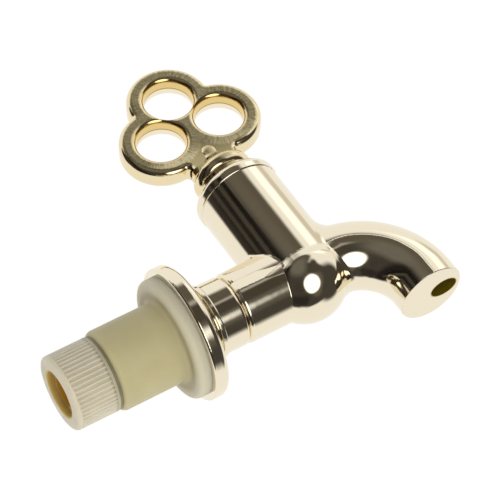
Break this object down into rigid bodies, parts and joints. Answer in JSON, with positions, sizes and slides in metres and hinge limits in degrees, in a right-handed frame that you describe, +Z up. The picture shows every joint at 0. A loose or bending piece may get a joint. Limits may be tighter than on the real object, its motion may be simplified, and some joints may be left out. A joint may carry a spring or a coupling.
{
  "type": "jar tap",
  "caption": "Small plated plastic drinks jar tap: ribbed clamp nut, seal sleeve, flange collar, drooping spout and trefoil key that turns a core.",
  "frame": {"origin": "centre of the jar's hole, half way through a 4 mm glass wall, on the shank's axis", "axes": "+X out of the jar along the shank towards the spout, +Z up along the valve's axis"},
  "size_m": [0.0843, 0.0292, 0.0799],
  "materials": {
    "plating": "bright pale gold plating on plastic",
    "seal_silicone": "milky olive silicone, satin",
    "nut_plastic": "milky white plastic, satin",
    "washer_plastic": "slippery white plastic",
    "core_plastic": "ivory plastic",
    "ring_rubber": "black rubber"
  },
  "bodies": {
    "tap": {"tap_body": "plating", "flange_collar": "plating", "jar_seal": "seal_silicone", "port_seal_inlet": "seal_silicone", "port_seal_outlet": "seal_silicone", "thrust_washer": "washer_plastic", "stem_bush": "core_plastic", "bush_oring": "ring_rubber", "bonnet_cap": "plating"},
    "key": {"key_handle": "plating", "valve_plug": "core_plastic", "plug_oring": "ring_rubber", "stem_oring_lower": "ring_rubber", "stem_oring_upper": "ring_rubber"},
    "washer": {"slip_washer": "washer_plastic"},
    "nut": {"clamp_nut": "nut_plastic"}
  },
  "joints": [
    {"name": "key_turn", "type": "hinge", "parent": "tap", "child": "key", "pos_m": [0.0337, 0, 0.03], "axis": [0, 0, 1], "range_deg": [0, 90]},
    {"name": "nut_travel", "type": "slide", "parent": "tap", "child": "washer", "axis": [-1, 0, 0], "range_m": [0, 0.0075]},
    {"name": "nut_turn", "type": "hinge", "parent": "washer", "child": "nut", "pos_m": [-0.018, 0, 0], "axis": [-1, 0, 0], "range_deg": [0, 1800]}
  ],
  "couplings": [
    {"joint": "nut_turn", "follows": "nut_travel", "rad_per_m": 4188.8}
  ]
}
